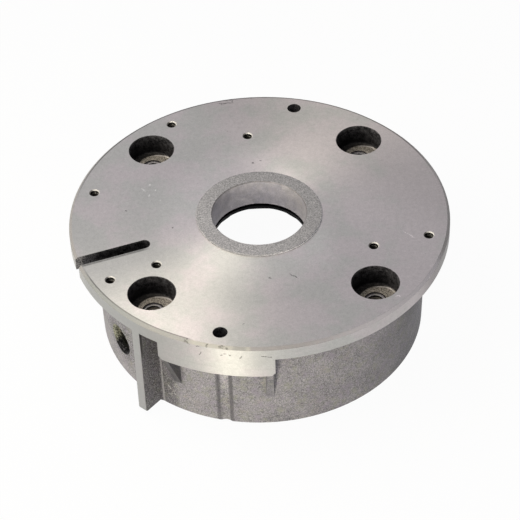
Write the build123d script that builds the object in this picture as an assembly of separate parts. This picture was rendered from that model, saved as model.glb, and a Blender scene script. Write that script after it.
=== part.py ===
from build123d import *
import math
import os

# End shield of an electric motor, cast in aluminium in one piece.
# It stands on the open rim of its drum, at Z = 0, with the turned face up.
# The bearing bore is on the Z axis. Lengths are millimetres, angles degrees.

# Flange and drum
face_height = 85.0
flange_diameter = 250.0
flange_thickness = 10.0
flange_chamfer = 1.8
flange_overhang = 15.0
flange_fillet = 2.5
drum_draft = 1.2
rim_chamfer = 0.8

# Cavity
rim_wall = 7.0
cavity_draft = 0.8
cavity_fillet = 5.0
stiffener_thickness = 7.0
stiffener_depth = 9.0

# Bearing hub, with a retaining ring groove under the bearing seat
bore_diameter = 62.0
bore_chamfer = 0.6
seat_below_face = 18.2
ring_groove_depth = 1.5
ring_groove_width = 2.2
ring_groove_lip = 2.1
hub_wall = 10.5
hub_proud = 1.2
hub_edge_round = 0.5
hub_fillet = 4.0

# Screw pockets, with a column under each one for a long housing screw
pocket_from_drum_edge = 10.0
pocket_angles = (45.0, 135.0, 225.0, 315.0)
pocket_diameter = 30.5
pocket_depth = 15.2
pocket_corner_round = 2.0
pocket_edge_break = 0.3
pocket_wall = 4.0
pocket_floor = 6.5
washer_seat_diameter = 13.2
washer_seat_depth = 1.3
screw_hole_diameter = 11.0
column_wall = 4.0
corbel_cover = 2.0

# Circle near the flange edge that the brake screw holes and the outer tapped holes share
edge_hole_inset = 12.5

# Two plain holes for the brake screws, opposite each other, with a clearance channel down the drum
front_brake_angle = 255.3
brake_hole_diameter = 9.4
brake_channel_diameter = 12.0
channel_edge_round = 1.0

# Tapped holes, cut at their core diameter
tap_core_diameter = 5.0
tap_chamfer = 1.0
outer_tap_angles = (120.3, 165.3, 210.3, 345.3)
outer_tap_floor = 1.5
inner_tap_circle = 162.0
inner_tap_count = 3
inner_tap_start = 93.4

# Lead slot, open at the rim
slot_angle = 198.0
slot_width = 8.0
slot_end_radius = 79.5
slot_below_flange = 0.8
slot_floor_thickness = 3.2

# Thick rim segment around the front brake hole, and a gusset near each of its ends
pad_left_of_hole = 18.3
pad_right_of_hole = 16.8
pad_height = 24.3
pad_corner_chamfer = 2.4
gusset_from_pad_end = 1.5
gusset_root_width = 5.4
gusset_edge_width = 3.6
gusset_fillet = 1.5
gusset_height = 35.7

# Stop rib, turned flush with the flange
rib_angle = 229.2
rib_width = 5.9
rib_root_width = 6.6
rib_fillet = 2.5
rib_foot = 3.4
rib_corner_round = 2.0

# Cable entry, cut at its core diameter
entry_angle = 209.8
entry_above_rim = 28.8
entry_core_diameter = 18.4
entry_chamfer = 1.8

# How far a cutter runs past a face it crosses, and a joined form runs into its neighbour
clear = 1.0

flange_radius = flange_diameter / 2
drum_radius = flange_radius - flange_overhang
bore_radius = bore_diameter / 2
hub_radius = bore_radius + hub_wall
pocket_radius = pocket_diameter / 2
pocket_circle_radius = drum_radius - pocket_from_drum_edge
edge_circle_radius = flange_radius - edge_hole_inset
brake_angles = (front_brake_angle, front_brake_angle - 180)
channel_radius = brake_channel_diameter / 2
pad_start_angle = front_brake_angle - pad_left_of_hole
pad_end_angle = front_brake_angle + pad_right_of_hole

flange_bottom = face_height - flange_thickness
slot_floor_z = flange_bottom - slot_below_flange
web_bottom = slot_floor_z - slot_floor_thickness
hub_top = face_height + hub_proud
groove_top = face_height - seat_below_face
groove_bottom = groove_top - ring_groove_width
hub_bottom = groove_bottom - ring_groove_lip
pad_bottom = face_height - pad_height
pocket_floor_z = face_height - pocket_depth
washer_seat_z = pocket_floor_z - washer_seat_depth
boss_bottom = washer_seat_z - pocket_floor
boss_radius = pocket_radius + pocket_wall
column_radius = screw_hole_diameter / 2 + column_wall

drum_rim_radius = drum_radius - flange_bottom * math.tan(math.radians(drum_draft))
cavity_rim_radius = drum_rim_radius - rim_wall
cavity_top_radius = cavity_rim_radius - web_bottom * math.tan(math.radians(cavity_draft))
web_root_radius = edge_circle_radius - channel_radius - clear


def turned(points, rounds=()):
    """Revolve a closed outline of (radius, height) points; rounds is a list of (radius, height, fillet)."""
    outline = make_face(Polyline(*points, close=True))
    for radius, height, size in rounds:
        corner = outline.vertices().sort_by_distance((radius, height, 0))[0]
        outline = fillet(corner, size)
    return revolve(Plane.XZ * outline, Axis.Z)


def at(angle, radius, height=0.0):
    """A location on a bolt circle, with its X axis pointing outwards."""
    return Rot(0, 0, angle) * Pos(radius, 0, height)


def drum_radius_at(height):
    """The outer radius of the drum, which narrows from the flange to the rim."""
    return drum_rim_radius + (drum_radius - drum_rim_radius) * height / flange_bottom


def post(radius, bottom, top):
    """A vertical cylinder between two heights."""
    return Pos(0, 0, bottom) * extrude(Circle(radius), top - bottom)


def tapped_hole(bottom):
    """A cutter for a tapped hole from the turned face down to a height, with its mouth chamfered."""
    core_radius = tap_core_diameter / 2
    mouth = Cone(core_radius, core_radius + tap_chamfer, tap_chamfer)
    return post(core_radius, bottom, face_height + clear) + Pos(0, 0, face_height - tap_chamfer / 2) * mouth


def blank():
    """The turned outline as a full solid, before anything is taken out of it."""
    points = [
        (0, 0),
        (flange_radius, 0),
        (flange_radius, face_height - flange_chamfer),
        (flange_radius - flange_chamfer, face_height),
        (hub_radius, face_height),
        (hub_radius, hub_top),
        (0, hub_top),
    ]
    return turned(points, [(hub_radius, hub_top, hub_edge_round)])


def hub():
    """The bearing hub inside the drum, with a fillet where it leaves the end wall."""
    fillet_size = min(hub_fillet, (web_bottom - hub_bottom) / 2)
    skirt_radius = hub_radius + fillet_size + clear
    return turned(
        [
            (0, hub_bottom),
            (hub_radius, hub_bottom),
            (hub_radius, web_bottom),
            (skirt_radius, web_bottom),
            (skirt_radius, web_bottom + clear),
            (0, web_bottom + clear),
        ],
        [(hub_radius, web_bottom, fillet_size)],
    )


def stiffener(angle):
    """A web under the end wall, from the hub to a pocket boss."""
    length = pocket_circle_radius - bore_radius
    depth = stiffener_depth + clear
    web = Box(length, stiffener_thickness, depth)
    return at(angle, bore_radius + length / 2, web_bottom + clear - depth / 2) * web


def cavity():
    """The space inside the drum, less the hub, pocket bosses, screw columns and stiffeners."""
    hollow = turned(
        [
            (0, -clear),
            (cavity_rim_radius, -clear),
            (cavity_rim_radius, 0),
            (cavity_top_radius, web_bottom),
            (0, web_bottom),
        ],
        [(cavity_top_radius, web_bottom, cavity_fillet)],
    )
    hollow -= hub()
    for angle in pocket_angles:
        hollow -= stiffener(angle)
        hollow -= at(angle, pocket_circle_radius) * post(boss_radius, boss_bottom, face_height)
        hollow -= at(angle, pocket_circle_radius) * post(column_radius, -clear, boss_bottom + clear)
    return hollow


def corbel(angle):
    """The outside of a screw pocket, sloping back to the drum under the flange."""
    reach = pocket_circle_radius + boss_radius
    outer_bottom = pocket_floor_z - corbel_cover
    slope_foot = outer_bottom - (reach - web_root_radius)
    limit = turned(
        [
            (web_root_radius, slope_foot),
            (reach + clear, outer_bottom + clear),
            (reach + clear, face_height),
            (web_root_radius, face_height),
        ]
    )
    boss = at(angle, pocket_circle_radius) * post(boss_radius, slope_foot, face_height - clear)
    return boss & limit


def blade(angle, root_width, edge_width, root_fillet, bottom, top):
    """A radial web on the drum, filleted at its root, whose sides draw in towards its outer edge."""
    foot_radius = drum_rim_radius - rim_chamfer
    foot_half_width = root_width / 2 + root_fillet + clear
    outline = make_face(
        Polyline(
            (web_root_radius, foot_half_width),
            (foot_radius, foot_half_width),
            (foot_radius, root_width / 2),
            (flange_radius + clear, edge_width / 2),
            (flange_radius + clear, -edge_width / 2),
            (foot_radius, -root_width / 2),
            (foot_radius, -foot_half_width),
            (web_root_radius, -foot_half_width),
            close=True,
        )
    )
    for side in (1, -1):
        corner = outline.vertices().sort_by_distance((foot_radius, side * root_width / 2, 0))[0]
        outline = fillet(corner, root_fillet)
    return Rot(0, 0, angle) * Pos(0, 0, bottom) * extrude(outline, top - bottom)


def pad():
    """The thick rim segment, with its lower end corners chamfered."""
    outline = make_face(
        Polyline(
            (web_root_radius, pad_bottom),
            (flange_radius + clear, pad_bottom),
            (flange_radius + clear, flange_bottom + clear),
            (web_root_radius, flange_bottom + clear),
            close=True,
        )
    )
    segment = revolve(Plane.XZ * outline, Axis.Z, pad_left_of_hole + pad_right_of_hole)
    block = Rot(0, 0, front_brake_angle - pad_left_of_hole) * segment
    low_edges = block.edges().group_by(Axis.Z)[0].filter_by(GeomType.LINE)
    return chamfer(low_edges, pad_corner_chamfer)


def gusset(angle):
    """A tapered web under the pad, sloping back to the drum."""
    foot = pad_bottom - gusset_height
    top = pad_bottom + clear
    limit = turned(
        [
            (web_root_radius, foot),
            (drum_radius_at(foot), foot),
            (flange_radius - clear, pad_bottom),
            (flange_radius - clear, top),
            (web_root_radius, top),
        ]
    )
    return blade(angle, gusset_root_width, gusset_edge_width, gusset_fillet, foot, top) & limit


def stop_rib():
    """The rib down the drum; its foot stops short of the rim and runs down to it at the wall."""
    limit = turned(
        [
            (web_root_radius, rim_chamfer),
            (drum_rim_radius, rim_chamfer),
            (drum_rim_radius + rib_fillet, rib_foot),
            (flange_radius + 2 * clear, rib_foot),
            (flange_radius + 2 * clear, face_height),
            (web_root_radius, face_height),
        ]
    )
    return blade(rib_angle, rib_root_width, rib_width, rib_fillet, 0, face_height - clear) & limit


def relief():
    """The space around the drum under the flange, less what stands out from the drum."""
    around = turned(
        [
            (drum_rim_radius - rim_chamfer - clear, -clear),
            (drum_rim_radius, rim_chamfer),
            (drum_radius, flange_bottom),
            (flange_radius + clear, flange_bottom),
            (flange_radius + clear, -clear),
        ],
        [(drum_radius, flange_bottom, flange_fillet)],
    )
    for angle in brake_angles:
        around += at(angle, edge_circle_radius) * post(channel_radius, -clear, flange_bottom)
    for angle in pocket_angles:
        around -= corbel(angle)
    around -= stop_rib()
    around -= pad()
    around -= gusset(pad_start_angle + gusset_from_pad_end)
    around -= gusset(pad_end_angle - gusset_from_pad_end)
    return around


def rounded_rib(body):
    """The body with the lower outer corner of the stop rib rounded."""
    foot_edges = body.edges().filter_by_position(Axis.Z, rib_foot, rib_foot)
    outer_edge = foot_edges.sort_by_distance((0, 0, rib_foot))[-1]
    return fillet(outer_edge, rib_corner_round)


def rounded_channel(body):
    """The body with the long edges of the front clearance channel rounded, from the rim to the pad."""
    axis_point = at(front_brake_angle, edge_circle_radius, pad_bottom / 2).position
    long_edges = body.edges().filter_by(lambda edge: edge.length > pad_bottom / 2)
    return fillet(long_edges.sort_by_distance(axis_point)[:2], channel_edge_round)


def bearing_bore():
    """The cutter for the bore, with its lip chamfer and the groove for a retaining ring."""
    groove_radius = bore_radius + ring_groove_depth
    return turned(
        [
            (0, -clear),
            (bore_radius, -clear),
            (bore_radius, groove_bottom),
            (groove_radius, groove_bottom),
            (groove_radius, groove_top),
            (bore_radius, groove_top),
            (bore_radius, hub_top - bore_chamfer),
            (bore_radius + bore_chamfer, hub_top),
            (bore_radius + bore_chamfer, hub_top + clear),
            (0, hub_top + clear),
        ]
    )


def screw_pocket():
    """The cutter for one pocket: edge break, rounded floor corner, washer seat and screw hole."""
    return turned(
        [
            (0, -clear),
            (screw_hole_diameter / 2, -clear),
            (screw_hole_diameter / 2, washer_seat_z),
            (washer_seat_diameter / 2, washer_seat_z),
            (washer_seat_diameter / 2, pocket_floor_z),
            (pocket_radius, pocket_floor_z),
            (pocket_radius, face_height - pocket_edge_break),
            (pocket_radius + pocket_edge_break, face_height),
            (pocket_radius + pocket_edge_break, face_height + clear),
            (0, face_height + clear),
        ],
        [(pocket_radius, pocket_floor_z, pocket_corner_round)],
    )


def lead_slot():
    """The cutter for the slot, with a round inner end; outside the drum it goes right through."""
    length = flange_radius + clear - slot_end_radius
    outline = Pos(length / 2, 0) * Rectangle(length, slot_width) + Circle(slot_width / 2)
    depth = face_height + clear - slot_floor_z
    return at(slot_angle, slot_end_radius, slot_floor_z) * extrude(outline, depth)


def cable_entry():
    """The cutter for the radial cable entry, chamfered at the outside of the drum."""
    core = entry_core_diameter / 2
    inner_end = math.sqrt(cavity_top_radius**2 - core**2) - clear
    skin = drum_radius_at(entry_above_rim)
    from_inner_end = (Align.CENTER, Align.CENTER, Align.MIN)
    hole = Cylinder(core, flange_radius - inner_end, align=from_inner_end)
    mouth = Cone(core, core + entry_chamfer + clear, entry_chamfer + clear, align=from_inner_end)
    mouth = Pos(0, 0, skin - inner_end - entry_chamfer) * mouth
    return at(entry_angle, inner_end, entry_above_rim) * Rot(0, 90, 0) * (hole + mouth)


def end_shield():
    """The casting after turning, drilling and tapping."""
    body = blank() - cavity() - relief()
    body = rounded_channel(rounded_rib(body))
    body -= bearing_bore()
    for angle in pocket_angles:
        body -= at(angle, pocket_circle_radius) * screw_pocket()
    for angle in brake_angles:
        hole = post(brake_hole_diameter / 2, -clear, face_height + clear)
        body -= at(angle, edge_circle_radius) * hole
    for angle in outer_tap_angles:
        body -= at(angle, edge_circle_radius) * tapped_hole(flange_bottom + outer_tap_floor)
    for index in range(inner_tap_count):
        angle = inner_tap_start + index * 360 / inner_tap_count
        body -= at(angle, inner_tap_circle / 2) * tapped_hole(web_bottom - clear)
    body -= lead_slot()
    body -= cable_entry()
    return body


os.makedirs("parts", exist_ok=True)
shield = end_shield()
export_step(shield, "parts/end_shield.step")
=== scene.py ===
import bpy
import math
from mathutils import Matrix, Vector
from types import SimpleNamespace


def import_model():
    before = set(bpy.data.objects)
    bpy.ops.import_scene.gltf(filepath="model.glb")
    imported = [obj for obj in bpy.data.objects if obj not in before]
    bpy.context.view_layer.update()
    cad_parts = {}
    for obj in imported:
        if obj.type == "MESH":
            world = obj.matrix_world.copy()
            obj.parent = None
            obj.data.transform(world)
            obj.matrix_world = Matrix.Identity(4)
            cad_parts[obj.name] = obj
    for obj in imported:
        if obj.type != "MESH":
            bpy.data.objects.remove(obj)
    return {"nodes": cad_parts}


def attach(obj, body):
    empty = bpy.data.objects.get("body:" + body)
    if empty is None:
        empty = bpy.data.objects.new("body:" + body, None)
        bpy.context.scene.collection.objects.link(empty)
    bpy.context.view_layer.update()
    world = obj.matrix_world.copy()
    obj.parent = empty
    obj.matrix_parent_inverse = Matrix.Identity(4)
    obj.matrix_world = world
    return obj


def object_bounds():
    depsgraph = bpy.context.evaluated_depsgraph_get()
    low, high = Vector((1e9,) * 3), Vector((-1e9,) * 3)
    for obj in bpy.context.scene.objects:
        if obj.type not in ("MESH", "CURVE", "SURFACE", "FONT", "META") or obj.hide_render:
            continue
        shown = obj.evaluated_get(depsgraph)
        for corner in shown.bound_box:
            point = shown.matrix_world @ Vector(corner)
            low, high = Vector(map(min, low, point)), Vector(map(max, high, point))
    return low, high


# Looks of a cast aluminium motor end shield: turned, drilled and as-cast surfaces, screw threads, a white
# studio and the camera. Blender works in metres in the row frame, and the values here are millimetres and
# degrees where no comment says otherwise.

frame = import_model()
cad_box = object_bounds()
shield = frame["nodes"]["end_shield"]
MM = 0.001

# The flange, its face, the raised hub ring and the bearing bore
FLANGE_R = round(cad_box[1][0] / MM, 2)
HUB_RING_R = 41.5
HUB_RING_RISE = 1.2
HUB_RING_TOP_Z = round(cad_box[1][2] / MM, 2)
FACE_Z = round(HUB_RING_TOP_Z - HUB_RING_RISE, 2)
BORE_R = 31.0
GROOVE_TOP_Z = 66.8

# Axes of the holes, as the radius of their circle and their angle
EDGE_CIRCLE_R = 112.5
POCKETS = [(100.0, angle) for angle in (45.0, 135.0, 225.0, 315.0)]
BRAKE_HOLES = [(EDGE_CIRCLE_R, angle) for angle in (255.3, 75.3)]
OUTER_TAPS = [(EDGE_CIRCLE_R, angle) for angle in (120.3, 165.3, 210.3, 345.3)]
INNER_TAPS = [(81.0, angle) for angle in (93.4, 213.4, 333.4)]

# Sizes and places of the holes; POCKET_X is how far the pockets' axes lie left and right of the middle
POCKET_X = 70.7
POCKET_R = 15.25
POCKET_FLOOR_Z = 69.8
WASHER_SEAT_R = 6.6
SCREW_HOLE_R = 5.5
BRAKE_HOLE_R = 4.7
TAP_CORE_R = 2.5
TAP_THREAD_TOP_Z = 83.6
ENTRY_ANGLE = 209.8
ENTRY_Z = 28.8
ENTRY_CORE_R = 9.2
ENTRY_THREAD_START_R = 100.6

# Lead slot, stop rib, drum and the underside of the thick rim segment
SLOT_ANGLE = 198.0
SLOT_HALF_WIDTH = 4.0
SLOT_END_R = 79.5
SLOT_FLOOR_Z = 74.2
RIB_ANGLE = 229.2
DRUM_R = 110.0
PAD_BOTTOM_Z = 60.7

# Colours of the turned metal, and of the greenish oxide on the rim's left, which is darkened as painted shade
TURNED = (0.486, 0.480, 0.462)
TURNED_WARM = (0.522, 0.485, 0.486)
OXIDE_SHADE_GREEN = (0.372, 0.370, 0.352)
OXIDE_SHADE_GREY = (0.385, 0.390, 0.385)

# Colours of the cast skin and of the hub ring, which is left as cast
CAST_LIGHT = (0.430, 0.412, 0.440)
CAST_DARK = (0.072, 0.072, 0.080)
CAST_GREEN = (0.270, 0.275, 0.225)
CAST_VIOLET = (0.265, 0.235, 0.290)
CAST_TAN = (0.330, 0.270, 0.190)
SCRAPED = (0.560, 0.550, 0.540)
RING_DARK = (0.120, 0.120, 0.129)
RING_LIGHT = (0.385, 0.380, 0.398)

# Colours inside the holes and of their threads: the first two are the holes' painted shade and its mottled
# painted light, and the dark and light colours of the mouths and threads are their painted shaded and lit
# sides
HOLE_SHADE = (0.003, 0.003, 0.004)
HOLE_LIT = (0.125, 0.122, 0.132)
BORE_GREY = (0.475, 0.455, 0.500)
BORE_LIGHT = (0.590, 0.560, 0.570)
FLOOR_LIGHT = (0.400, 0.368, 0.330)
FLOOR_DARK = (0.095, 0.086, 0.076)
MOUTH_DARK = (0.150, 0.145, 0.140)
MOUTH_LIGHT = (0.570, 0.555, 0.540)
ENTRY_DARK = (0.020, 0.020, 0.014)
ENTRY_LIGHT = (0.400, 0.400, 0.320)
TAP_THREAD_DARK = (0.010, 0.009, 0.008)
TAP_THREAD_LIGHT = (0.300, 0.290, 0.270)
ENTRY_THREAD_DARK = (0.012, 0.012, 0.010)
ENTRY_THREAD_LIGHT = (0.340, 0.330, 0.250)

# Colours of the bevel at the back, and at the front from left to right, which paint the highlights and shade
# that fall along it
BEVEL_BACK = (0.310, 0.300, 0.300)
BEVEL_DULL = (0.275, 0.283, 0.280)
BEVEL_LEFT = (0.300, 0.298, 0.288)
BEVEL_HIGHLIGHT = (0.385, 0.375, 0.350)
BEVEL_GREY = (0.290, 0.278, 0.282)
BEVEL_PALE = (0.480, 0.460, 0.492)

# Wear, one mark a line: middle x, y and z, turn, half length, half width. The dark marks are on the turned
# face and its bevel, and the light ones on the face.
DARK_MARKS = [
    (-18, 121.4, 85, -5, 4.4, 0.45),
    (-14, 119.4, 85, 92, 1.8, 0.35),
    (-19.8, 117.7, 85, 2, 6.0, 0.45),
    (-2.5, 123.0, 85, -12, 3.0, 0.40),
    (8, 122.4, 85, -12, 1.7, 0.45),
    (32, 119.5, 85, -17, 6.5, 0.50),
    (46.8, 114.9, 85, -15, 1.5, 0.45),
    (-49.9, -114.0, 84.1, -65, 2.2, 0.70),
    (-48.9, -112.5, 84.1, -56, 1.6, 0.60),
    (-37.2, -119.0, 84.1, 43, 2.1, 0.60),
    (-28.2, -121.4, 84.1, -30, 1.9, 0.80),
    (-24.7, -122.5, 84.1, -28, 2.0, 0.70),
    (-27.4, -120.8, 85, -25, 1.7, 0.50),
    (19.6, -61.2, 85, -40, 3.4, 0.40),
    (-87.5, 8.9, 85, 0, 0.70, 0.60),
    (-2.5, 51.8, 85, 0, 0.75, 0.55),
    (2.8, 53.5, 85, 0, 0.65, 0.50),
    (59.1, -109.9, 85, 40, 0.80, 0.60),
    (-13.7, -102.3, 85, 10, 0.80, 0.50),
    (4.7, -62.2, 85, -30, 0.80, 0.45),
    (-57.2, -10.2, 85, 60, 0.60, 0.50),
]
LIGHT_MARKS = [
    (96, -27.2, 85, -46, 5.2, 0.40),
    (-76.2, 29.3, 85, -45, 2.6, 0.40),
    (-72.1, 23.5, 85, 100, 1.3, 0.60),
    (-71.8, 33.8, 85, -40, 0.80, 0.60),
    (-68.2, 28.3, 85, 60, 0.90, 0.60),
    (-65.2, 17.8, 85, 30, 0.80, 0.55),
    (83.5, -84, 85, 0, 1.9, 0.45),
]
# Nicks in the rim's side and scrapes on the drum, both at the front and turned in an upright plane
RIM_NICKS = [
    (-41.3, -118.0, 76.7, -55, 1.7, 0.50),
    (-28.4, -121.7, 78.0, -40, 1.2, 0.65),
    (-26.2, -122.2, 79.6, 10, 1.0, 0.50),
    (-23.4, -122.8, 78.6, 30, 1.1, 0.50),
    (-16.5, -123.9, 77.5, -47, 1.6, 0.50),
    (-2.2, -125.0, 78.2, 9, 1.9, 0.45),
    (1.1, -125.0, 77.4, 19, 1.6, 0.50),
    (-48.4, -115.2, 82.9, 19, 1.2, 0.50),
    (-42.8, -117.4, 82.5, -32, 1.0, 0.40),
]
SKIN_SCRAPES = [
    (-60.2, -91.2, 12.6, 41, 1.8, 0.45),
    (-63.5, -89.0, 17.4, 63, 2.0, 0.40),
    (-61.8, -90.1, 11.9, -70, 3.4, 0.40),
    (-59.3, -91.8, 21.5, -66, 2.9, 0.35),
    (-64.8, -88.0, 27.6, 63, 2.0, 0.35),
]
# How far an upright mark reaches through the surface, to either side
MARK_REACH = 9.0


def polar(radius, angle, z=0.0):
    """A point from a radius, an angle and a height."""
    turn = math.radians(angle)
    return Vector((radius * math.cos(turn), radius * math.sin(turn), z))


# Material nodes

class Field:
    """What a node socket gives at each point of a surface. Arithmetic on a number adds Math nodes."""

    def __init__(self, tree, socket):
        self.tree, self.socket = tree, socket

    def math(self, operation, *others):
        node = self.tree.nodes.new("ShaderNodeMath")
        node.operation = operation
        for value, socket in zip((self,) + others, node.inputs):
            put(value, socket)
        return Field(self.tree, node.outputs[0])

    def __add__(self, other):
        return self.math("ADD", other)

    def __sub__(self, other):
        return self.math("SUBTRACT", other)

    def __mul__(self, other):
        return self.math("MULTIPLY", other)

    def __rsub__(self, other):
        return (self * -1.0) + other

    __radd__ = __add__
    __rmul__ = __mul__

    def size(self):
        return self.math("ABSOLUTE")

    def least(self, other):
        return self.math("MINIMUM", other)

    def most(self, other):
        return self.math("MAXIMUM", other)

    def ramp(self, low, high):
        """0 below low and 1 above high, smooth between them; falling if low is above high."""
        node = self.tree.nodes.new("ShaderNodeMapRange")
        node.interpolation_type = "SMOOTHSTEP"
        node.clamp = True
        start, end = (0.0, 1.0) if low < high else (1.0, 0.0)
        for value, socket in zip((self, min(low, high), max(low, high), start, end), node.inputs):
            put(value, socket)
        return Field(self.tree, node.outputs[0])

    def within(self, low, high, soft):
        """1 between low and high, with soft edges."""
        return self.ramp(low - soft, low + soft) * self.ramp(high + soft, high - soft)


def put(value, socket):
    """Link a field to a socket, or set a plain number or colour on it."""
    if isinstance(value, Field):
        value.tree.links.new(value.socket, socket)
    else:
        socket.default_value = value


def axes(tree, output):
    """The three parts of a Texture Coordinate output."""
    source = tree.nodes.new("ShaderNodeTexCoord").outputs[output]
    split = tree.nodes.new("ShaderNodeSeparateXYZ")
    tree.links.new(source, split.inputs[0])
    return [Field(tree, socket) for socket in split.outputs]


def vector_of(*parts):
    """A vector of three parts, of which one at least is a field."""
    tree = next(part.tree for part in parts if isinstance(part, Field))
    node = tree.nodes.new("ShaderNodeCombineXYZ")
    for part, socket in zip(parts, node.inputs):
        put(part, socket)
    return Field(tree, node.outputs[0])


def vector_math(operation, vector, *others, output=0):
    node = vector.tree.nodes.new("ShaderNodeVectorMath")
    node.operation = operation
    for value, socket in zip((vector,) + others, node.inputs):
        put(value, socket)
    return Field(vector.tree, node.outputs[output])


def flat_distance(x, y):
    return (x * x + y * y).math("SQRT")


def texture(kind, vector, scale):
    node = vector.tree.nodes.new(kind)
    put(vector, node.inputs["Vector"])
    node.inputs["Scale"].default_value = scale
    return node


def noise(vector, scale, detail=2.0, rough=0.5):
    node = texture("ShaderNodeTexNoise", vector, scale)
    node.inputs["Detail"].default_value = detail
    node.inputs["Roughness"].default_value = rough
    return Field(vector.tree, node.outputs[0])


def warped(vector, scale, distance):
    """A vector pushed about by noise, along each axis by up to half a distance either way."""
    node = texture("ShaderNodeTexNoise", vector, scale)
    push = Field(vector.tree, node.outputs["Color"])
    pushed = vector_math("MULTIPLY_ADD", push, (distance, distance, distance), vector)
    return vector_math("SUBTRACT", pushed, (distance / 2, distance / 2, distance / 2))


def mixed(share, low, high):
    """A colour between two colours by a share from 0 to 1."""
    node = share.tree.nodes.new("ShaderNodeMix")
    node.data_type = "RGBA"
    put(share, node.inputs[0])
    for value, socket in ((low, node.inputs[6]), (high, node.inputs[7])):
        put(value if isinstance(value, Field) else (*value, 1.0), socket)
    return Field(share.tree, node.outputs[2])


def scaled(colour, value):
    """A colour times a number."""
    node = colour.tree.nodes.new("ShaderNodeVectorMath")
    node.operation = "SCALE"
    put(colour, node.inputs[0])
    put(value, node.inputs["Scale"])
    return Field(colour.tree, node.outputs[0])


def bumped(height, distance):
    """The normal of a surface that stands proud by a height times a distance in metres."""
    node = height.tree.nodes.new("ShaderNodeBump")
    node.inputs["Distance"].default_value = distance
    put(height, node.inputs["Height"])
    return Field(height.tree, node.outputs[0])


def metal(colour, roughness, normal, metallic=1.0, specular=0.5):
    node = colour.tree.nodes.new("ShaderNodeBsdfPrincipled")
    node.inputs["Metallic"].default_value = metallic
    node.inputs["Specular IOR Level"].default_value = specular
    put(colour, node.inputs["Base Color"])
    put(roughness, node.inputs["Roughness"])
    put(normal, node.inputs["Normal"])
    return Field(colour.tree, node.outputs[0])


def turned_round_z(shader):
    """Give a metal shader the glint of tool marks that run around the Z axis."""
    node = shader.socket.node
    node.inputs["Anisotropic"].default_value = 0.75
    node.inputs["Anisotropic Rotation"].default_value = 0.25
    tangent = shader.tree.nodes.new("ShaderNodeTangent")
    tangent.direction_type = "RADIAL"
    tangent.axis = "Z"
    shader.tree.links.new(tangent.outputs[0], node.inputs["Tangent"])
    return shader


def either(share, low, high):
    """A shader between two shaders by a share from 0 to 1."""
    node = share.tree.nodes.new("ShaderNodeMixShader")
    for value, socket in zip((share, low, high), node.inputs):
        put(value, socket)
    return Field(share.tree, node.outputs[0])


def to_output(shader, kind="ShaderNodeOutputMaterial"):
    """Join a shader to an output node."""
    output = shader.tree.nodes.new(kind)
    put(shader, output.inputs[0])


def material(name):
    made = bpy.data.materials.new(name)
    made.use_nodes = True
    made.node_tree.nodes.clear()
    return made


class Surface:
    """A new material, with each point's place in millimetres, its normal and its distance from the Z axis."""

    def __init__(self, name):
        self.material = material(name)
        self.x, self.y, self.z = [part * (1.0 / MM) for part in axes(self.material.node_tree, "Object")]
        self.nx, self.ny, self.nz = axes(self.material.node_tree, "Normal")
        self.point = vector_of(self.x, self.y, self.z)
        self.radius = flat_distance(self.x, self.y)

    def seen_along(self, angle):
        """How far a point lies out from the Z axis at an angle, and how far to the right, from outside."""
        out = polar(1.0, angle)
        return self.x * out.x + self.y * out.y, self.y * out.x - self.x * out.y

    def near_axis(self, centres, radius, soft=0.1, shift=(0.0, 0.0)):
        """1 inside a radius from any of some vertical axes, all moved by a shift in x and y."""
        found = None
        for centre in centres:
            middle = polar(*centre)
            away = flat_distance(self.x - (middle.x + shift[0]), self.y - (middle.y + shift[1]))
            inside = away.ramp(radius + soft, radius - soft)
            found = inside if found is None else found.most(inside)
        return found


def marks(place, spots, upright=False):
    """1 on any of some long thin spots, with soft edges. Upright ones lie in the plane of X and Z."""
    nearest = None
    for x, y, z, angle, long, wide in spots:
        turn = math.radians(angle)
        node = place.tree.nodes.new("ShaderNodeMapping")
        node.vector_type = "TEXTURE"
        put(place, node.inputs["Vector"])
        node.inputs["Location"].default_value = (x, y, z)
        node.inputs["Rotation"].default_value = (0, turn, 0) if upright else (0, 0, turn)
        node.inputs["Scale"].default_value = (long, MARK_REACH, wide) if upright else (long, wide, 1.0)
        away = vector_math("LENGTH", Field(place.tree, node.outputs[0]), output="Value")
        nearest = away if nearest is None else nearest.least(away)
    return nearest.ramp(1.25, 0.75)


# Areas of the casting, as shares from 0 to 1, and the distances that the slot and the entry are told by

def turned_areas(at):
    """What the lathe has cut: the face, the flange's and the rib's outer edges, and the drum's foot."""
    on = SimpleNamespace()
    on.upright = at.nz.size().ramp(0.75, 0.60)
    on.face = at.nz.ramp(0.80, 0.95) * at.z.within(FACE_Z - 0.3, FACE_Z + 0.3, 0.1)
    on.face = on.face * at.radius.ramp(HUB_RING_R, HUB_RING_R + 0.2)
    rim = at.radius.ramp(FLANGE_R - 2.2, FLANGE_R - 1.6) * at.z.ramp(50.0, 52.0) * at.nz.ramp(-0.5, -0.2)
    rib_edge = at.radius.ramp(FLANGE_R - 0.4, FLANGE_R - 0.2)
    foot = at.z.ramp(0.1, 0.05)
    on.rim_side = rim.most(rib_edge) * on.upright
    on.bevel = rim * at.z.ramp(FACE_Z - 2.0, FACE_Z - 1.7) * at.nz.ramp(0.30, 0.50) * at.nz.ramp(0.96, 0.90)
    on.turned = on.face.most(rim).most(rib_edge).most(foot)
    return on


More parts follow.
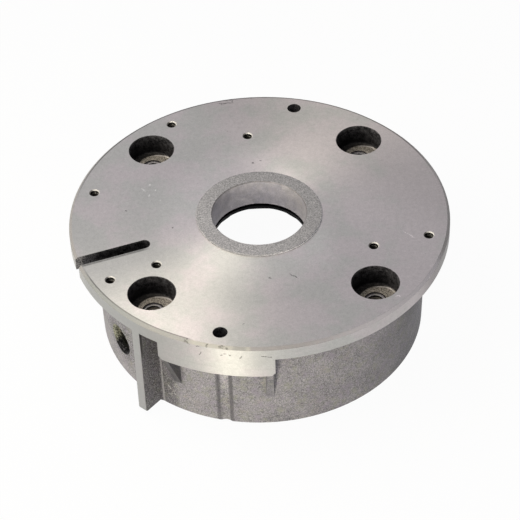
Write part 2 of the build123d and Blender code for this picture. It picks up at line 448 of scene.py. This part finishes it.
def pocket_areas(at, on):
    """The screw pockets: walls, floor, a painted pool of light on the floor with a painted highlight at its
    edge, washer seat and screw hole.
    """
    on.pocket = at.near_axis(POCKETS, POCKET_R + 0.35)
    on.pocket = on.pocket * at.z.ramp(POCKET_FLOOR_Z - 0.6, POCKET_FLOOR_Z - 0.2) * (1.0 - on.face)
    on.pocket_floor = on.pocket * at.z.ramp(POCKET_FLOOR_Z + 1.2, POCKET_FLOOR_Z + 0.2)
    # a painted pool of light on each pocket's floor, moved right and towards the front, with a painted
    # highlight along its edge
    lit_floor_r = 12.9
    lit_floor_shift = (2.6, -0.5)
    on.sanded = at.near_axis(POCKETS, lit_floor_r, 0.5, lit_floor_shift)
    on.sand_edge = on.sanded - at.near_axis(POCKETS, lit_floor_r - 1.0, 0.5, lit_floor_shift)
    on.sand_edge = on.sand_edge * at.nx.size().ramp(0.5, 0.4)
    on.screw_hole = at.near_axis(POCKETS, SCREW_HOLE_R + 0.2)
    seat_edge = at.near_axis(POCKETS, WASHER_SEAT_R + 0.5, 0.2)
    seat_edge = seat_edge * at.z.ramp(POCKET_FLOOR_Z + 0.3, POCKET_FLOOR_Z + 0.1)
    on.seat_edge = seat_edge * (1.0 - at.near_axis(POCKETS, WASHER_SEAT_R - 0.5, 0.2))


def hole_areas(at, on):
    """The bore, the tapped and brake screw holes, the lead slot and the cable entry."""
    on.bore = at.radius.ramp(BORE_R + 2.2, BORE_R + 2.0) * at.z.ramp(58.0, 60.0)
    on.bore = on.bore * at.z.ramp(HUB_RING_TOP_Z - 0.05, HUB_RING_TOP_Z - 0.15)
    on.groove = on.bore * at.z.ramp(GROOVE_TOP_Z + 0.1, GROOVE_TOP_Z - 0.1)
    brake_hole = at.near_axis(BRAKE_HOLES, BRAKE_HOLE_R + 0.2)
    brake_hole = brake_hole * on.upright * at.z.ramp(PAD_BOTTOM_Z - 0.2, PAD_BOTTOM_Z + 0.2)
    mouth_r = TAP_CORE_R + 1.2
    outer = at.near_axis(OUTER_TAPS, mouth_r) * at.z.ramp(74.4, 74.6)
    inner = at.near_axis(INNER_TAPS, mouth_r) * at.z.ramp(67.0, 67.5)
    on.tapped = outer.most(inner) * (1.0 - on.face)
    on.tap_core = at.near_axis(OUTER_TAPS + INNER_TAPS, TAP_CORE_R + 0.4)
    on.tap_core = on.tap_core * at.z.ramp(FACE_Z - 0.3, FACE_Z - 0.5)
    on.slot_out, on.slot_right = at.seen_along(SLOT_ANGLE)
    slot = on.slot_right.size().ramp(SLOT_HALF_WIDTH + 0.2, SLOT_HALF_WIDTH + 0.1)
    slot = slot * on.slot_out.ramp(SLOT_END_R - 5.0, SLOT_END_R - 4.0)
    on.slot = slot * at.z.ramp(SLOT_FLOOR_Z - 0.2, SLOT_FLOOR_Z - 0.1) * (1.0 - on.face)
    entry_out, on.entry_right = at.seen_along(ENTRY_ANGLE)
    on.entry_side = entry_out.ramp(90.0, 92.0)
    from_entry = flat_distance(on.entry_right, at.z - ENTRY_Z)
    on.entry = from_entry.ramp(ENTRY_CORE_R + 2.0, ENTRY_CORE_R + 1.8) * on.entry_side
    on.drilled = on.bore.most(on.pocket).most(on.screw_hole * on.upright).most(brake_hole)
    on.drilled = on.drilled.most(on.tapped).most(on.slot).most(on.entry)


def wear_areas(at, on):
    """Nicks and scratches, with their outlines bent by noise and broken up by grain."""
    bent = warped(at.point, 0.45, 2.6)
    worn = marks(bent, DARK_MARKS).most(marks(bent, RIM_NICKS, upright=True))
    on.worn = worn * (0.30 + 0.70 * at.grain.ramp(0.40, 0.55))
    on.scratched = marks(bent, LIGHT_MARKS) * (0.4 + 0.6 * at.grain.ramp(0.42, 0.58))
    on.scraped = marks(bent, SKIN_SCRAPES, upright=True) * at.grain.ramp(0.42, 0.56)


# Cast skin

def granular_skin(at):
    """The sand mould's grain, with greenish, violet and tan patches."""
    share = at.grain.ramp(0.34, 0.66) * 0.70 + at.lumps.ramp(0.30, 0.70) * 0.15
    skin = mixed(share + at.cloud.ramp(0.35, 0.65) * 0.15, CAST_DARK, CAST_LIGHT)
    skin = mixed(at.hue.ramp(0.52, 0.68) * 0.50, skin, CAST_GREEN)
    skin = mixed(at.hue.ramp(0.48, 0.32) * 0.60, skin, CAST_VIOLET)
    tan = noise(at.point, 0.12, 3.0, 0.6).ramp(0.54, 0.70) * at.grain.ramp(0.5, 0.62)
    return mixed(tan * 0.45, skin, CAST_TAN)


def with_hub_ring(at, on, skin):
    """The raised ring around the bore: free of tints, with painted light at its left front and on its right
    wall.
    """
    ring = at.radius.ramp(HUB_RING_R + 1.0, HUB_RING_R + 0.5) * at.z.ramp(FACE_Z - 1.0, FACE_Z)
    share = at.grain.ramp(0.32, 0.66) * 0.75 + 0.6 * at.lumps.ramp(0.58, 0.72) * at.grain.ramp(0.50, 0.60)
    # painted light: the ring is lighter towards its left front, where the lamps shine
    tone = 0.97 + 0.17 * (at.x + at.y).ramp(25.0, -45.0)
    skin = mixed(ring, skin, scaled(mixed(share, RING_DARK, RING_LIGHT), tone))
    # painted light on the ring's wall, strongest on its right side, which faces away from the lamps
    wall = on.upright * at.radius.within(HUB_RING_R - 0.5, HUB_RING_R + 0.9, 0.2)
    wall = wall * at.z.ramp(FACE_Z - 0.2, FACE_Z + 0.2)
    return scaled(skin, 1.0 + wall * (0.2 + 1.8 * at.x.ramp(-5.0, 20.0)))


def rib_shade(at, right_of_rib, beside_rib):
    """Painted shade on the rib's right side and in the corner beside it, broken by lighter slanting streaks
    and specks.
    """
    # painted shade in the corner at the rib's right, with a cloudy edge
    corner = (right_of_rib + 9.0 * (at.cloud - 0.5)).within(1.0, 15.0, 4.0) * beside_rib
    streaks = noise(vector_of(at.z - 0.8 * right_of_rib, 0.07 * (at.z + right_of_rib), 0.0), 1.8, 2.0, 0.5)
    specks = at.grain.ramp(0.42, 0.62)
    on_drum = right_of_rib.ramp(3.6, 4.4)
    shade_breaks = 0.52 * specks * (1.0 - on_drum) + (0.40 * streaks.ramp(0.42, 0.66) + 0.42 * specks) * on_drum
    return 1.0 - corner * (0.82 - shade_breaks)


def gusset_shade(at, right_of_rib, beside_rib):
    """Painted shade on the gussets' downward-facing sloping edges, and a painted shadow on the right side of
    the one beside the rib.
    """
    # painted shade on the gussets' downward-facing sloping edges
    edge = at.nz.within(-0.75, -0.15, 0.05) * at.radius.ramp(DRUM_R - 0.6, DRUM_R - 0.2)
    edge = edge * at.z.ramp(68.5, 68.0)
    # painted shadow on the right side of the gusset beside the rib
    side = at.nx.ramp(0.55, 0.75) * right_of_rib.within(14.0, 25.0, 1.0) * beside_rib
    side = side * at.radius.ramp(DRUM_R - 0.2, DRUM_R + 0.6)
    side = side * at.z.ramp(PAD_BOTTOM_Z + 0.8, PAD_BOTTOM_Z - 0.1)
    return (1.0 - edge * (0.14 + 0.50 * beside_rib)) * (1.0 - 0.72 * side)


def channel_shade(at):
    """The channel under the front brake screw hole: painted shade on its two edges, with a painted highlight
    on the strip between them.
    """
    out, right = at.seen_along(BRAKE_HOLES[0][1])
    on_drum = out.ramp(100.0, 102.0)
    # painted shade on the channel's two edges
    edges = right.within(-6.0, -3.6, 0.8).most(right.within(2.2, 5.3, 0.7))
    edges = edges * on_drum * at.z.ramp(PAD_BOTTOM_Z + 0.1, PAD_BOTTOM_Z - 0.1)
    # painted highlight down the channel's middle
    middle = right.within(-3.0, 1.8, 0.7) * on_drum * at.z.within(30.0, 60.0, 15.0)
    return (1.0 - 0.45 * edges * (0.6 + 0.8 * at.lumps)) * (1.0 + 0.45 * middle)


def entry_shade(at, on):
    """Dirt on the skin around the cable entry, mostly above it."""
    dirt = flat_distance(on.entry_right, at.z - (ENTRY_Z + 3.0)).ramp(25.0, 12.0) * on.entry_side
    return 1.0 - 0.62 * dirt * at.grain.ramp(0.56, 0.46)


def right_end_shade(at):
    """Painted shade: the drum darkens towards its right end, away from the lamps, and most of all in a
    painted shadow under the flange.
    """
    at_right = at.y.ramp(-5.0, -30.0)
    # painted shadow under the flange at the drum's right end
    under_flange = at.x.ramp(80.0, 100.0) * at.z.ramp(28.0, 60.0) * at_right
    return (1.0 - 0.34 * at.x.ramp(48.0, 108.0) * at_right) * (1.0 - 0.70 * under_flange)


def cast_skin(at, on):
    """The sand-cast skin, with painted shade and highlights by the rib, on the gussets, in the channel and
    towards the right end, dirt around the cable entry, its scrapes and a painted highlight along the fillet
    beside the rib.
    """
    rib_out, right_of_rib = at.seen_along(RIB_ANGLE)
    beside_rib = rib_out.ramp(104.0, 106.0)
    shade = rib_shade(at, right_of_rib, beside_rib) * gusset_shade(at, right_of_rib, beside_rib)
    shade = shade * channel_shade(at) * entry_shade(at, on) * right_end_shade(at)
    skin = scaled(with_hub_ring(at, on, granular_skin(at)), shade)
    # painted highlight along the fillet in the corner at the rib's right
    fillet_highlight = right_of_rib.within(3.7, 5.0, 0.3) * at.radius.within(DRUM_R - 2.0, DRUM_R + 1.6, 0.3)
    skin = mixed(fillet_highlight * at.z.ramp(66.0, 60.0) * beside_rib * 0.55, skin, RING_LIGHT)
    skin = mixed(on.scraped * 0.8, skin, SCRAPED)
    pits = Field(at.point.tree, texture("ShaderNodeTexVoronoi", at.point, 1.3).outputs["Distance"])
    height = at.grain * 0.75 + at.lumps * 0.25 - pits.ramp(0.30, 0.0) * 0.25
    return metal(skin, 0.45 + 0.25 * at.grain, bumped(height, 0.00042), metallic=0.20)


# Turned metal

def dark_lines(at, on, front):
    """Marks, the line beside the bevel at the back and at the left of the front, and the slot's dirty lip."""
    edge_line = on.face * at.radius.ramp(122.1, 122.5)
    edge_line = edge_line * at.y.ramp(10.0, 70.0).most(front * at.x.ramp(-44.0, -52.0))
    slot_lip = on.face * on.slot_right.within(SLOT_HALF_WIDTH, SLOT_HALF_WIDTH + 1.8, 0.6)
    slot_lip = slot_lip * on.slot_out.ramp(76.0, 82.0) * at.grain.ramp(0.30, 0.50)
    return (1.0 - 0.70 * on.worn) * (1.0 - 0.60 * edge_line) * (1.0 - 0.60 * slot_lip)


def painted_light_by_place(at, on):
    """Painted light and shade on the metal by its place: on the rim lighter right of the middle and much
    darker at its right end, lighter around the hub's left, darker at the back right and at the right, and
    lighter at the left.
    """
    rim = 0.14 * at.x.ramp(-10.0, 10.0) - 0.42 * at.x.ramp(92.0, 112.0) - 0.04
    around_hub = at.radius.ramp(82.0, 42.0) * (0.9 * at.x + 0.3 * at.y).ramp(42.0, 20.0)
    back_right = (0.64 * at.x + 0.77 * at.y).ramp(38.0, 92.0)
    left = (0.25 * at.y - 0.8 * at.x).ramp(20.0, 90.0)
    across = 1.0 - 0.05 * at.x.ramp(20.0, 110.0) + 0.07 * left
    return (1.0 + on.rim_side * rim) * (1.0 + 0.19 * around_hub) * (1.0 - 0.15 * back_right) * across


def turned_metal(at, on, front):
    """Turned faces, with faint rings round the axis, bands down the rim, stains, scratches and nicks, painted
    light and shade by place, and a greenish oxide on the rim's left that is darkened as painted shade.
    """
    rings = noise(vector_of(at.radius, at.z * 0.35, 0.0), 2.3, 3.0, 0.65)
    bands = noise(vector_of(0.0, 0.0, at.z), 0.28, 2.0, 0.5)
    tone = 0.97 + 0.07 * rings + 0.14 * (at.stain - 0.5) + 0.50 * (at.grain - 0.5) + 0.20 * (at.lumps - 0.5)
    tone = tone - 0.18 * at.speck.ramp(0.66, 0.78) + 0.26 * (bands - 0.5) * on.upright
    tone = tone * dark_lines(at, on, front) * painted_light_by_place(at, on) + 0.50 * on.scratched
    warm = (at.stain + at.x * 0.0007 + 0.05 * at.y.ramp(-60.0, 0.0)).ramp(0.42, 0.62)
    colour = scaled(mixed(warm, TURNED, TURNED_WARM), tone)
    # greenish oxide on the left of the rim, darkened there as painted shade
    oxide_and_shade = on.rim_side * front * at.x.ramp(-44.0, -75.0) * (0.30 + 0.5 * at.stain)
    colour = mixed(oxide_and_shade, colour, mixed(at.x.ramp(-70.0, -85.0), OXIDE_SHADE_GREEN, OXIDE_SHADE_GREY))
    rough = 0.33 + 0.08 * at.stain + 0.05 * rings + 0.08 * on.rim_side
    height = rings * 0.006 + at.grain * 0.006 + at.radius * 0.02
    return turned_round_z(metal(colour, rough, bumped(height, 0.001)))


# Insides of the holes, and the bevel

def shaded_hole_walls(at, on, pocket_x):
    """Painted shade in the holes, near black, with mottled painted light where light falls: high up, right in
    a pocket, in the slot and the entry.
    """
    lit = 0.12 + 0.60 * at.z.ramp(71.0, 84.5)
    lit = lit.most(on.slot * (0.60 + 0.40 * at.radius.ramp(114.0, 122.0)))
    lit = lit.most(on.entry * 1.2 * at.speck.ramp(0.52, 0.66)) + 0.40 * on.pocket * pocket_x.ramp(3.0, 13.0)
    mottle = at.grain.ramp(0.42, 0.62) * 0.55 + at.lumps.ramp(0.38, 0.62) * 0.45
    return mixed(mottle * lit * (1.0 - on.groove) * (1.0 - on.tapped), HOLE_SHADE, HOLE_LIT)


def with_bore(at, on, colour):
    """The bore's wall above its groove, stained, with painted shade at its left and right, and darker on its
    chamfer.
    """
    wall = mixed(at.stain.ramp(0.40, 0.60) * 0.6 + at.lumps.ramp(0.35, 0.65) * 0.4, BORE_GREY, BORE_LIGHT)
    tone = 0.86 + 1.00 * (at.grain - 0.4) + 0.60 * (at.hue - 0.5)
    # painted shade on the bore's walls at the left and right
    sides = 1.0 - 0.16 * at.nx.ramp(0.3, 0.9) - 0.18 * at.nx.ramp(-0.3, -0.9)
    wall = scaled(wall, tone * (1.0 - 0.6 * at.nz.ramp(0.2, 0.4)) * sides)
    return mixed(on.bore * (1.0 - on.groove), colour, wall)


def with_pocket_floors(at, on, pocket_x, colour):
    """Sand on the pockets' floors in a painted pool of light, with painted shadow around it and a painted
    highlight at its right edge, painted shade at the seat edge and a light band in the screw hole.
    """
    sand = mixed(at.grain.ramp(0.38, 0.64), FLOOR_DARK, FLOOR_LIGHT)
    # the floor shows in the painted pool of light; outside it is painted shadow
    colour = mixed(on.pocket_floor * (0.06 + 0.94 * on.sanded), colour, sand)
    # painted highlight at the right edge of the pool of light
    colour = mixed(on.pocket_floor * on.sand_edge * pocket_x.ramp(-1.0, 3.0) * 0.5, colour, BORE_LIGHT)
    # painted shade at the washer seat's edge
    colour = mixed(on.seat_edge, colour, HOLE_SHADE)
    return mixed(on.screw_hole * at.z.within(63.0, 67.0, 1.0), colour, FLOOR_LIGHT)


def with_openings(at, on, colour):
    """Painted light: the tapped holes' chamfers lit on the side facing the lamps and shaded on the other, the
    slot's lit outer end and the cable entry's lit upper left.
    """
    # painted light and shade on the tapped holes' chamfers, by the way they face
    mouth = mixed((0.85 * at.nx + 0.50 * at.ny).ramp(0.15, -0.35), MOUTH_DARK, MOUTH_LIGHT)
    colour = mixed(on.tapped * (1.0 - on.tap_core), colour, mouth)
    # painted light on the slot's outer end, where light comes in
    slot_end = on.slot * at.radius.ramp(108.0, 124.0) * at.grain.ramp(0.38, 0.62)
    colour = mixed(slot_end * 0.64, colour, RING_LIGHT)
    # painted light on the cable entry's upper left
    bright = (0.8 * (at.z - ENTRY_Z) - 0.6 * on.entry_right + 6.0 * (at.lumps - 0.5)).ramp(-2.5, 2.5)
    return mixed(on.entry * bright, colour, mixed(at.grain.ramp(0.42, 0.60), ENTRY_DARK, ENTRY_LIGHT))


def bevel_colour(at, front):
    """The bevel's colour along x at the front, painting the highlights and shade that fall along it, and one
    colour at the back.
    """
    colour = mixed(at.x.ramp(10.0, 75.0), BEVEL_GREY, BEVEL_PALE)
    colour = mixed(at.x.ramp(-9.0, -12.0), colour, BEVEL_HIGHLIGHT)
    colour = mixed(at.x.ramp(-44.0, -52.0).most(at.x.within(-21.0, -13.0, 1.5)), colour, BEVEL_LEFT)
    colour = mixed(at.x.ramp(-72.0, -92.0), colour, BEVEL_DULL)
    return mixed(front, BEVEL_BACK, colour)


def hole_metal(at, on, front):
    """The walls and floors of the holes, and the bevel."""
    pocket_x = at.x - at.x.math("SIGN") * POCKET_X
    colour = shaded_hole_walls(at, on, pocket_x)
    colour = with_bore(at, on, colour)
    colour = with_pocket_floors(at, on, pocket_x, colour)
    colour = with_openings(at, on, colour)
    bevel = scaled(bevel_colour(at, front), 0.80 + 0.40 * at.grain - 0.60 * on.worn)
    colour = mixed(on.bevel, colour, bevel)
    rough = 0.55 + 0.15 * at.grain - 0.12 * on.bore
    height = at.grain * 0.6 + at.lumps * 0.4
    return metal(colour, rough, bumped(height, 0.00012), metallic=0.50, specular=0.12)


def casting():
    """The casting's material: its cast skin, the turned metal and the insides of its holes."""
    at = Surface("cast_aluminium")
    at.grain = noise(at.point, 1.25, 3.0, 0.70)
    at.speck = noise(at.point, 0.95, 2.0, 0.5)
    at.lumps = noise(at.point, 0.34, 2.0, 0.5)
    at.hue = noise(at.point, 0.20, 3.0, 0.6)
    at.cloud = noise(at.point, 0.045, 3.0, 0.55)
    at.stain = noise(at.point, 0.035, 4.0, 0.6)
    front = at.y.ramp(-40.0, -60.0)
    on = turned_areas(at)
    pocket_areas(at, on)
    hole_areas(at, on)
    wear_areas(at, on)
    shader = either(on.turned, cast_skin(at, on), turned_metal(at, on, front))
    to_output(either(on.drilled.most(on.bevel), shader, hole_metal(at, on, front)))
    return at.material


def thread_metal(at, lit, dark, light):
    """Cut thread flanks, dark as painted shade except where they are lit."""
    tone = noise(at.point, 0.9, 3.0, 0.6)
    colour = mixed(tone.ramp(0.35, 0.65) * lit, dark, light)
    to_output(metal(colour, 0.50 + 0.2 * tone, bumped(tone, 0.00005), metallic=0.5, specular=0.12))
    return at.material


def tap_metal():
    """Threads of the tapped holes, lit at the right of their mouths."""
    at = Surface("tap_thread")
    lit = (0.85 * at.nx + 0.50 * at.ny).ramp(0.1, -0.5) * at.z.ramp(TAP_THREAD_TOP_Z - 2.0, TAP_THREAD_TOP_Z)
    return thread_metal(at, 0.10 + 0.90 * lit, TAP_THREAD_DARK, TAP_THREAD_LIGHT)


def entry_metal():
    """The cable entry's thread, lit at its upper left."""
    at = Surface("entry_thread")
    entry_right = at.seen_along(ENTRY_ANGLE)[1]
    lit = (0.8 * (at.z - ENTRY_Z) - 0.6 * entry_right).ramp(-1.0, 4.0)
    return thread_metal(at, lit, ENTRY_THREAD_DARK, ENTRY_THREAD_LIGHT)


shield.data.materials.clear()
shield.data.materials.append(casting())


# Screw threads

def thread(name, look, foot, axis, radius, pitch, run, height, steps=36):
    """A helical thread ridge on the wall of a hole, from foot along axis, with so many steps a turn."""
    along = Vector(axis).normalized()
    side = Vector((0, 0, 1)).cross(along) if abs(along.z) < 0.9 else Vector((1, 0, 0))
    side.normalize()
    other_side = along.cross(side)
    # how deep the ridge's foot lies in the wall, then shares of the pitch: half widths of foot and crest
    buried, root, crest = 0.12, 0.46, 0.07
    # how much of a turn each end takes to reach the full height
    faded = 0.5
    section = ((buried, -root), (-height, -crest), (-height, crest), (buried, root))
    count = int(run / pitch * steps)
    points, faces = [], []
    for i in range(count + 1):
        turn = 2 * math.pi * i / steps
        fade = min(1.0, i / (faded * steps), (count - i) / (faded * steps))
        outward = side * math.cos(turn) + other_side * math.sin(turn)
        for deep, wide in section:
            ridge = radius + (deep if deep > 0 else deep * fade)
            points.append((Vector(foot) + along * (pitch * (i / steps + wide)) + outward * ridge) * MM)
    for i in range(count):
        for k in range(3):
            first = 4 * i + k
            faces.append((first, first + 1, first + 5, first + 4))
        faces.append((4 * i + 3, 4 * i, 4 * i + 4, 4 * i + 7))
    faces.append((3, 2, 1, 0))
    faces.append((4 * count, 4 * count + 1, 4 * count + 2, 4 * count + 3))
    mesh = bpy.data.meshes.new(name)
    mesh.from_pydata(points, [], faces)
    mesh.validate()
    mesh.materials.append(look)
    piece = bpy.data.objects.new(name, mesh)
    bpy.context.scene.collection.objects.link(piece)
    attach(piece, "root")


def threads():
    """M6 threads in the seven tapped holes, ending below the chamfers, and the cable entry's M20 thread."""
    pitch, ridge = 1.0, 0.30
    look = tap_metal()
    for group, taps, run in (("edge", OUTER_TAPS, 6.4), ("cover", INNER_TAPS, 12.0)):
        for circle, angle in taps:
            foot = polar(circle, angle, round(TAP_THREAD_TOP_Z - run, 1))
            name = "thread_%s_%d" % (group, round(angle))
            thread(name, look, foot, (0, 0, 1), TAP_CORE_R, pitch, run, ridge)
    look = entry_metal()
    foot = polar(ENTRY_THREAD_START_R, ENTRY_ANGLE, ENTRY_Z)
    outward = polar(1.0, ENTRY_ANGLE)
    thread("thread_entry", look, foot, outward, ENTRY_CORE_R, pitch=1.5, run=5.4, height=0.75, steps=64)


threads()


# Studio

def floor():
    """A floor that the camera and the metal see as almost white, with a trace of the object's shadow."""
    # metres: half the floor's side, and its height just under the drum's foot
    half, z = 4.0, -0.0003
    mesh = bpy.data.meshes.new("floor")
    corners = [(-half, -half, z), (half, -half, z), (half, half, z), (-half, half, z)]
    mesh.from_pydata(corners, [], [(0, 1, 2, 3)])
    made = material("floor_white")
    tree = made.node_tree
    paint = tree.nodes.new("ShaderNodeBsdfDiffuse")
    place = Field(tree, tree.nodes.new("ShaderNodeTexCoord").outputs["Object"])
    put(mixed(noise(place, 3.0), (0.56, 0.56, 0.56), (0.60, 0.60, 0.60)), paint.inputs["Color"])
    glow = tree.nodes.new("ShaderNodeEmission")
    path = tree.nodes.new("ShaderNodeLightPath").outputs
    seen = Field(tree, path["Is Camera Ray"]).most(Field(tree, path["Is Glossy Ray"]) * 0.95)
    seen = seen.most(Field(tree, path["Is Transmission Ray"]))
    to_output(either(seen * 0.96, Field(tree, paint.outputs[0]), Field(tree, glow.outputs[0])))
    mesh.materials.append(made)
    piece = bpy.data.objects.new("floor", mesh)
    bpy.context.scene.collection.objects.link(piece)


def world():
    """A room that is lighter at the left, at the front and above the back, with a white backdrop."""
    made = bpy.data.worlds.new("studio")
    made.use_nodes = True
    tree = made.node_tree
    tree.nodes.clear()
    x, y, z = axes(tree, "Generated")
    left = (x * -0.80 + y * -0.40 + z * 0.20).ramp(-0.9, 0.9)
    above_back = (y * 0.55 + z * 0.80).ramp(0.45, 0.95)
    at_front = (y * -0.90 + x * 0.35).ramp(0.40, 1.0)
    room = tree.nodes.new("ShaderNodeBackground")
    put(mixed(left, (0.95, 0.94, 1.0), (1.0, 0.985, 0.95)), room.inputs["Color"])
    put(0.16 + 0.26 * left + 0.57 * above_back + 0.24 * at_front, room.inputs["Strength"])
    white = tree.nodes.new("ShaderNodeBackground")
    white.inputs["Color"].default_value = (1.0, 1.0, 1.0, 1.0)
    path = tree.nodes.new("ShaderNodeLightPath").outputs
    mirrored = Field(tree, path["Is Glossy Ray"]).most(Field(tree, path["Is Transmission Ray"]))
    seen = Field(tree, path["Is Camera Ray"]).most(mirrored * z.ramp(0.25, 0.10))
    both = either(seen, Field(tree, room.outputs[0]), Field(tree, white.outputs[0]))
    to_output(both, "ShaderNodeOutputWorld")
    bpy.context.scene.world = made


def softbox(name, azimuth, elevation, distance, size, power, colour):
    """A rectangular lamp that faces the middle of the object; its distance and size are metres."""
    light = bpy.data.lights.new(name, "AREA")
    light.shape = "RECTANGLE"
    light.size, light.size_y = size
    light.energy = power
    light.color = colour
    lamp = bpy.data.objects.new(name, light)
    middle = Vector((0, 0, 0.05))
    level = math.radians(elevation)
    lamp.location = polar(distance * math.cos(level), azimuth, distance * math.sin(level)) + middle
    lamp.rotation_euler = (middle - lamp.location).to_track_quat("-Z", "Y").to_euler()
    bpy.context.scene.collection.objects.link(lamp)


floor()
world()
softbox("key", azimuth=192.0, elevation=60.0, distance=0.58, size=(0.53, 0.37), power=3.5,
        colour=(1.0, 0.935, 0.80))
softbox("front", azimuth=253.0, elevation=6.0, distance=1.3, size=(0.22, 0.35), power=10.5,
        colour=(1.0, 0.935, 0.78))


# Camera

def camera():
    """The photograph's view: the angles, distance and lens that put rims and holes where they are in it."""
    photo_width, focal_pixels, sensor_width = 520.0, 2046.0, 36.0
    tilt, roll, spin = math.radians(42.79), math.radians(-2.12), math.radians(-0.85)
    # where the camera sees the middle of the face: how far to the right, down and ahead
    face_right, face_down, face_ahead = -0.497, -30.47, 1343.35
    ahead = Vector((0, math.cos(tilt), -math.sin(tilt)))
    level = Vector((1, 0, 0))
    plumb = ahead.cross(level)
    right = level * math.cos(roll) - plumb * math.sin(roll)
    down = level * math.sin(roll) + plumb * math.cos(roll)
    pose = Matrix([right, -down, -ahead]).transposed().to_4x4()
    pose.translation = -(right * face_right + down * face_down + ahead * face_ahead) * MM
    view = bpy.data.cameras.new("camera")
    view.sensor_fit = "HORIZONTAL"
    view.sensor_width = sensor_width
    view.lens = sensor_width * focal_pixels / photo_width
    made = bpy.data.objects.new("camera", view)
    made.matrix_world = Matrix.Translation((0, 0, FACE_Z * MM)) @ Matrix.Rotation(spin, 4, "Z") @ pose
    bpy.context.scene.collection.objects.link(made)
    bpy.context.scene.camera = made


camera()
bpy.context.scene.view_settings.view_transform = "Standard"
